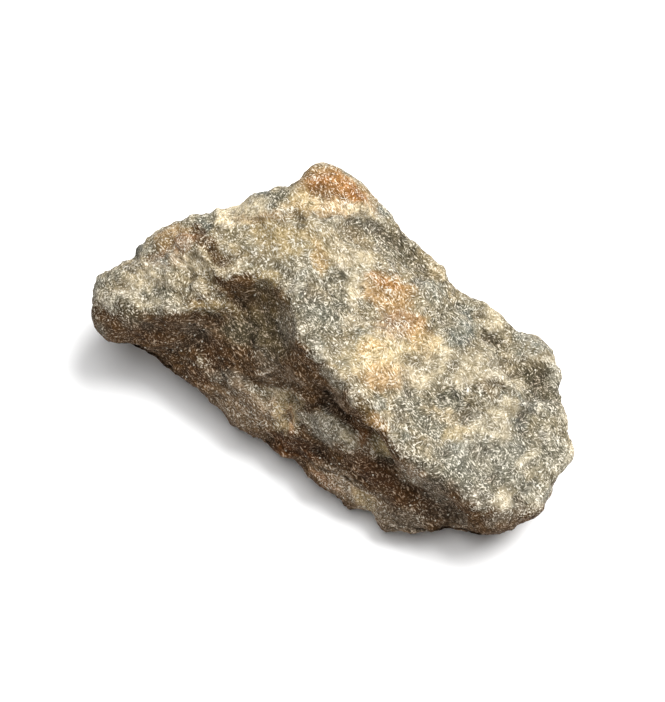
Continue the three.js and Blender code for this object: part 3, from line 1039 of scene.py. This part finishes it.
# Each push: its place, its reach, and how far it moves the stone to the right and up.
PUSHES = (
    Push(7.8, -18.4, 3.2, 0.0, 0.9),
    Push(-19.4, 10.8, 2.2, 0.5, -0.6),
    Push(-22.0, 8.4, 2.2, 0.3, -0.4),
    Push(-10.1, 14.8, 1.8, 0.2, -0.9),
    Push(-6.6, 16.3, 5.0, 0.15, -0.5),
    Push(-13.4, 13.9, 3.0, 0.1, -0.5),
    Push(-3.5, 17.6, 2.2, 0.3, -0.5),
    Push(7.0, 12.3, 2.2, -0.4, -0.4),
    Push(12.4, 6.5, 2.6, -0.3, -0.45),
    Push(18.5, 2.4, 2.2, -0.1, -0.45),
    Push(23.2, -4.4, 3.6, -0.6, 0.0),
    Push(23.8, -10.4, 1.8, 0.6, 0.0),
    Push(22.5, -13.0, 1.6, -0.4, 0.3),
    Push(18.5, -17.7, 1.8, -0.1, 0.45),
    Push(-0.8, -14.4, 5.0, 0.3, 0.5),
    Push(-11.7, -5.9, 2.2, 0.4, 0.4),
    Push(-7.1, -9.4, 1.6, 0.2, 0.4),
    Push(-20.5, 0.3, 2.2, 0.0, 0.45),
    Push(-1.4, 0.6, 4.0, -0.5, -0.5),
    Push(1.8, -2.9, 4.2, -0.35, -0.35),
    Push(8.2, -10.1, 4.5, -0.8, -0.8),
    Push(11.2, -12.9, 3.5, -0.2, -0.25),
    Push(-20.3, 9.5, 1.2, 0.3, -0.45),
    Push(-3.6, -11.2, 1.6, 0.3, 0.5),
    Push(3.4, -16.0, 1.6, 0.2, 0.45),
    Push(11.2, -17.6, 1.5, 0.0, 0.5),
    Push(-16.4, -1.7, 1.4, -0.3, -0.35),
    Push(23.6, -7.9, 1.4, -0.35, 0.0),
)


@dataclass
class Meteorite:
    """The stone: the solid's form, worn smooth between its points, marked, and broken up finely again."""

    RELIEF = "relief"  # the attribute that says how far a point stands out of the ground round it
    STAIN_AND_SHADE = "stain"  # the attribute that holds the colour and cover of the stains and of the painted brown shade

    side: ShowSide
    node: str = "meteorite"
    marks: tuple[Mark, ...] = MARKS
    pushes: tuple[Push, ...] = PUSHES
    merging: float = 0.001  # mm within which two points of the solid are one
    halving: int = 2  # rounds that halve the solid's edges
    rounding: int = 4  # rounds that smooth the solid's facets
    smoothing: float = 0.5  # how far a point goes to the middle of its neighbours in a round
    flakes: tuple[Chipping, ...] = (Chipping(3.4, 0.75), Chipping(1.5, 0.4), Chipping(0.7, 0.2))
    rear_flakes: tuple[Chipping, ...] = (Chipping(7.5, 1.8), Chipping(4.0, 0.9))
    rear_turn: tuple[float, float] = (0.1, 0.5)  # turn from the eye at which these begin and are whole
    fresh_patch: float = 5.0  # mm across a freshly broken patch
    fresh_share: float = 0.65  # how deep flakes are on average, as a share of their full depth
    fresh_swing: float = 1.2  # how far that changes from patch to patch
    fresh_range: tuple[float, float] = (0.3, 1.0)  # and the least and the most that it comes to
    lumps: tuple[tuple[float, float], ...] = (  # mm across, mm high
        (2.2, 0.18),
        (1.0, 0.13),
        (0.5, 0.09),
        (0.3, 0.06),
    )
    mark_turn: tuple[float, float] = (0.0, 0.15)  # turn to the eye at which marks begin and are whole
    mark_wander: tuple[tuple[float, float], ...] = ((2.5, 0.6), (0.9, 0.3))  # mm between bends, mm bent
    evening: int = 24  # rounds that even the ground that the relief is measured from
    steadying: int = 60  # rounds that steady the way a point faces
    downward: tuple[float, float, float] = (-0.3, -0.95, 0.0)  # on the show side, where the faces with the painted brown shade look
    rest_band: tuple[float, float] = (0.1, 1.2)  # mm above the floor over which the breaking up begins
    finish: BrokenBreccia = BrokenBreccia()

    def build(self, solid: bpy.types.Object) -> bpy.types.Object:
        """Makes the stone's surface from the solid.

        Args:
            solid: The solid's object.

        Returns:
            The new object, at the origin.
        """
        mesh = bpy.data.meshes.new("meteorite_surface")
        bm = bmesh.new()
        bm.from_mesh(solid.data)
        bmesh.ops.remove_doubles(bm, verts=bm.verts, dist=self.merging * MM)
        for _ in range(self.halving):
            bmesh.ops.subdivide_edges(bm, edges=bm.edges, cuts=1, use_grid_fill=True)
        for _ in range(self.rounding):
            bmesh.ops.smooth_vert(
                bm, verts=bm.verts, factor=self.smoothing, use_axis_x=True, use_axis_y=True, use_axis_z=True
            )
        self.carve(bm)
        relief = self.relief(bm)
        places = np.array([vertex.co for vertex in bm.verts]) / MM
        stain = WeatheringAndShade(self.side).colours(places, self.turned(bm), BVHTree.FromBMesh(bm))
        bm.to_mesh(mesh)
        bm.free()
        mesh.polygons.foreach_set("use_smooth", [True] * len(mesh.polygons))
        mesh.attributes.new(self.RELIEF, "FLOAT", "POINT").data.foreach_set("value", relief)
        mesh.attributes.new(self.STAIN_AND_SHADE, "FLOAT_COLOR", "POINT").data.foreach_set("color", stain.ravel())
        piece = bpy.data.objects.new("meteorite_surface", mesh)
        bpy.context.scene.collection.objects.link(piece)
        return piece

    def marked(self, places: np.ndarray, normals: np.ndarray) -> np.ndarray:
        """Finds how far the marks raise each point of the surface towards the eye.

        Args:
            places: The points in millimetres.
            normals: The way the surface faces at each point.

        Returns:
            Heights in millimetres.
        """
        axes = np.array(self.side.axes())
        shown = (places - np.array(self.side.middle)) @ axes
        shown[:, :2] *= (self.side.distance / (self.side.distance - shown[:, 2]))[:, None]
        for bend, reach in self.mark_wander:
            drift = [noise.noise_vector(Vector(place) / bend)[:2] for place in places]
            shown[:, :2] += reach * np.array(drift)
        facing = smooth_step(normals @ axes[:, 2], *self.mark_turn)
        rise = np.zeros(len(places))
        for mark in self.marks:
            turn = math.radians(mark.angle)
            right = shown[:, 0] - mark.x
            up = shown[:, 1] - mark.y
            along = (right * math.cos(turn) + up * math.sin(turn)) / mark.length
            across = (up * math.cos(turn) - right * math.sin(turn)) / mark.width
            rise += mark.height * mark.scar.profile(along, across)
        return rise * facing

    def pushed(self, places: np.ndarray) -> np.ndarray:
        """Finds how far the pushes at the outline move each point.

        Args:
            places: The points in millimetres.

        Returns:
            The moves in millimetres.
        """
        axes = np.array(self.side.axes())
        shown = (places - np.array(self.side.middle)) @ axes
        moves = np.zeros_like(places)
        for push in self.pushes:
            away = np.hypot(shown[:, 0] - push.x, shown[:, 1] - push.y) / push.reach
            share = np.clip(1.0 - away**2, 0.0, None) ** 2
            moves += share[:, None] * (push.right * axes[:, 0] + push.up * axes[:, 1])
        return moves

    def broken(self, place: Vector) -> float:
        """Finds how far the fine breaking up raises a point.

        Args:
            place: The point in millimetres.

        Returns:
            The height in millimetres.
        """
        least, most = self.fresh_range
        fresh = self.fresh_share + self.fresh_swing * noise.noise(place / self.fresh_patch)
        rise = min(max(fresh, least), most) * sum(flake.height(place) for flake in self.flakes)
        return rise + sum(height * noise.noise(place / size) for size, height in self.lumps)

    def carve(self, bm: bmesh.types.BMesh) -> None:
        """Marks and breaks up a surface, and leaves what it rests on flat.

        Args:
            bm: The surface.
        """
        bm.normal_update()
        places = np.array([vertex.co for vertex in bm.verts]) / MM
        normals = np.array([vertex.normal for vertex in bm.verts])
        towards_eye = np.array(self.side.axes())[:, 2]
        shift = self.marked(places, normals)[:, None] * towards_eye + self.pushed(places)
        rise = np.array([self.broken(Vector(place)) for place in places])
        rear = np.array(
            [sum(flake.height(Vector(place)) for flake in self.rear_flakes) for place in places]
        )
        rise += np.minimum(rear, 0.0) * smooth_step(-normals @ towards_eye, *self.rear_turn)
        shift += rise[:, None] * normals
        shift *= smooth_step(places[:, 2], *self.rest_band)[:, None]
        for vertex, step in zip(bm.verts, shift):
            vertex.co += Vector(step) * MM
            vertex.co.z = max(vertex.co.z, 0.0)
        bm.normal_update()

    def relief(self, bm: bmesh.types.BMesh) -> np.ndarray:
        """Finds how far each point of a surface stands out of the ground round it.

        Args:
            bm: The surface.

        Returns:
            Heights in millimetres, below zero in a hollow.
        """
        places = np.array([vertex.co for vertex in bm.verts])
        normals = np.array([vertex.normal for vertex in bm.verts])
        even = self.evened(bm, places, self.evening)
        return ((places - even) * normals).sum(axis=1) / MM

    def turned(self, bm: bmesh.types.BMesh) -> np.ndarray:
        """Finds how far each point of a surface is turned down, on the show side or to the floor.

        Args:
            bm: The surface.

        Returns:
            The share of each point's normal that points down.
        """
        normals = np.array([vertex.normal for vertex in bm.verts])
        facing = self.evened(bm, normals, self.steadying)
        down = self.side.axes() @ Vector(self.downward)
        return np.maximum(facing @ np.array(down), -facing[:, 2])

    def evened(self, bm: bmesh.types.BMesh, values: np.ndarray, rounds: int) -> np.ndarray:
        """Averages the values at the points of a surface with those at their neighbours.

        Args:
            bm: The surface.
            values: A row of values for each point.
            rounds: How often they are averaged.

        Returns:
            The averaged values.
        """
        bm.verts.index_update()
        ends = np.array([[vertex.index for vertex in edge.verts] for edge in bm.edges])
        count = np.bincount(ends.ravel(), minlength=len(values))[:, None]
        for _ in range(rounds):
            total = np.zeros_like(values)
            np.add.at(total, ends[:, 0], values[ends[:, 1]])
            np.add.at(total, ends[:, 1], values[ends[:, 0]])
            values = total / count
        return values

    def dress(self, piece: bpy.types.Object) -> None:
        """Gives the stone its finish and its place in the frame.

        Args:
            piece: The stone's object.
        """
        piece.data.materials.append(self.finish.material())
        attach(piece, "root")
        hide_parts(self.node)


@dataclass(frozen=True)
class WhiteCard:
    """Matt white card, rolled flat: it gives the eye an even pale ground that takes a soft shadow."""

    colour: str = "#f6f6f6"
    roughness: float = 0.95
    specular: float = 0.1

    def material(self) -> bpy.types.Material:
        """Returns the finish as a material."""
        material = bpy.data.materials.new("white_card_matt")
        material.use_nodes = True
        tree = material.node_tree
        tree.nodes.clear()
        shader = add_node(
            tree,
            "BsdfPrincipled",
            {
                "Base Color": linear(self.colour),
                "Roughness": self.roughness,
                "Specular IOR Level": self.specular,
            },
        )
        add_node(tree, "OutputMaterial", {}, {"Surface": shader.outputs[0]})
        return material


@dataclass
class Studio:
    """The camera, the lights and the floor."""

    side: ShowSide
    frame_height: float = 70.2  # mm that the picture's long side takes in at the stone's middle
    sensor: float = 36.0  # mm
    clip: tuple[float, float] = (10.0, 20000.0)  # mm from which and to which the camera sees
    floor_size: float = 3000.0  # mm along a side
    key_towards: tuple[float, float, float] = (0.42, 0.55, 0.72)  # on the show side
    key_distance: float = 600.0  # mm from the stone's middle
    key_size: float = 450.0  # mm across
    key_watts: float = 6.4
    top_height: float = 800.0  # mm above the stone's middle
    top_size: float = 600.0  # mm across
    top_watts: float = 4.6
    sky_strength: float = 0.2
    card: WhiteCard = WhiteCard()

    def build(self) -> None:
        """Sets the camera, the lights and the floor."""
        self.camera()
        key_towards = self.side.axes() @ Vector(self.key_towards).normalized()
        self.soft_box("key", key_towards, self.key_distance, self.key_size, self.key_watts)
        self.soft_box("top", Vector((0.0, 0.0, 1.0)), self.top_height, self.top_size, self.top_watts)
        self.sky()
        self.floor()
        bpy.context.scene.view_settings.view_transform = "Standard"

    def camera(self) -> None:
        """Points the camera square at the show side."""
        data = bpy.data.cameras.new("camera")
        data.sensor_width = self.sensor
        data.lens = self.sensor * self.side.distance / self.frame_height
        nearest, furthest = self.clip
        data.clip_start = nearest * MM
        data.clip_end = furthest * MM
        camera = bpy.data.objects.new("camera", data)
        camera.location = self.side.eye()
        camera.rotation_euler = self.side.axes().to_euler()
        bpy.context.scene.collection.objects.link(camera)
        bpy.context.scene.camera = camera

    def soft_box(self, name: str, towards: Vector, distance: float, size: float, watts: float) -> None:
        """Hangs a round soft light that faces the stone.

        Args:
            name: The light's name.
            towards: The direction to it from the stone.
            distance: Its distance in millimetres.
            size: Its width in millimetres.
            watts: Its power.
        """
        data = bpy.data.lights.new(name, "AREA")
        data.shape = "DISK"
        data.size = size * MM
        data.energy = watts
        light = bpy.data.objects.new(name, data)
        light.location = self.side.place(0.0, 0.0) + towards * distance * MM
        light.rotation_euler = towards.to_track_quat("Z", "Y").to_euler()
        bpy.context.scene.collection.objects.link(light)

    def sky(self) -> None:
        """Fills the shade with even white light."""
        world = bpy.data.worlds.new("studio")
        world.use_nodes = True
        background = world.node_tree.nodes["Background"]
        background.inputs["Color"].default_value = (1.0, 1.0, 1.0, 1.0)
        background.inputs["Strength"].default_value = self.sky_strength
        bpy.context.scene.world = world

    def floor(self) -> None:
        """Lays the card that the stone stands on."""
        mesh = bpy.data.meshes.new("floor")
        bm = bmesh.new()
        bmesh.ops.create_grid(bm, x_segments=1, y_segments=1, size=self.floor_size * MM / 2)
        bm.to_mesh(mesh)
        bm.free()
        mesh.materials.append(self.card.material())
        floor = bpy.data.objects.new("floor", mesh)
        bpy.context.scene.collection.objects.link(floor)


def main() -> None:
    """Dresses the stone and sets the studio."""
    logging.basicConfig(level=logging.INFO, format="%(message)s")
    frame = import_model()
    noise.seed_set(WANDER_SEED)
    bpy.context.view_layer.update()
    side = ShowSide()
    Studio(side).build()
    stone = Meteorite(side)
    piece = stone.build(frame["nodes"][stone.node])
    stone.dress(piece)
    log.info("%s: %d faces", piece.name, len(piece.data.polygons))


if __name__ == "__main__":
    main()
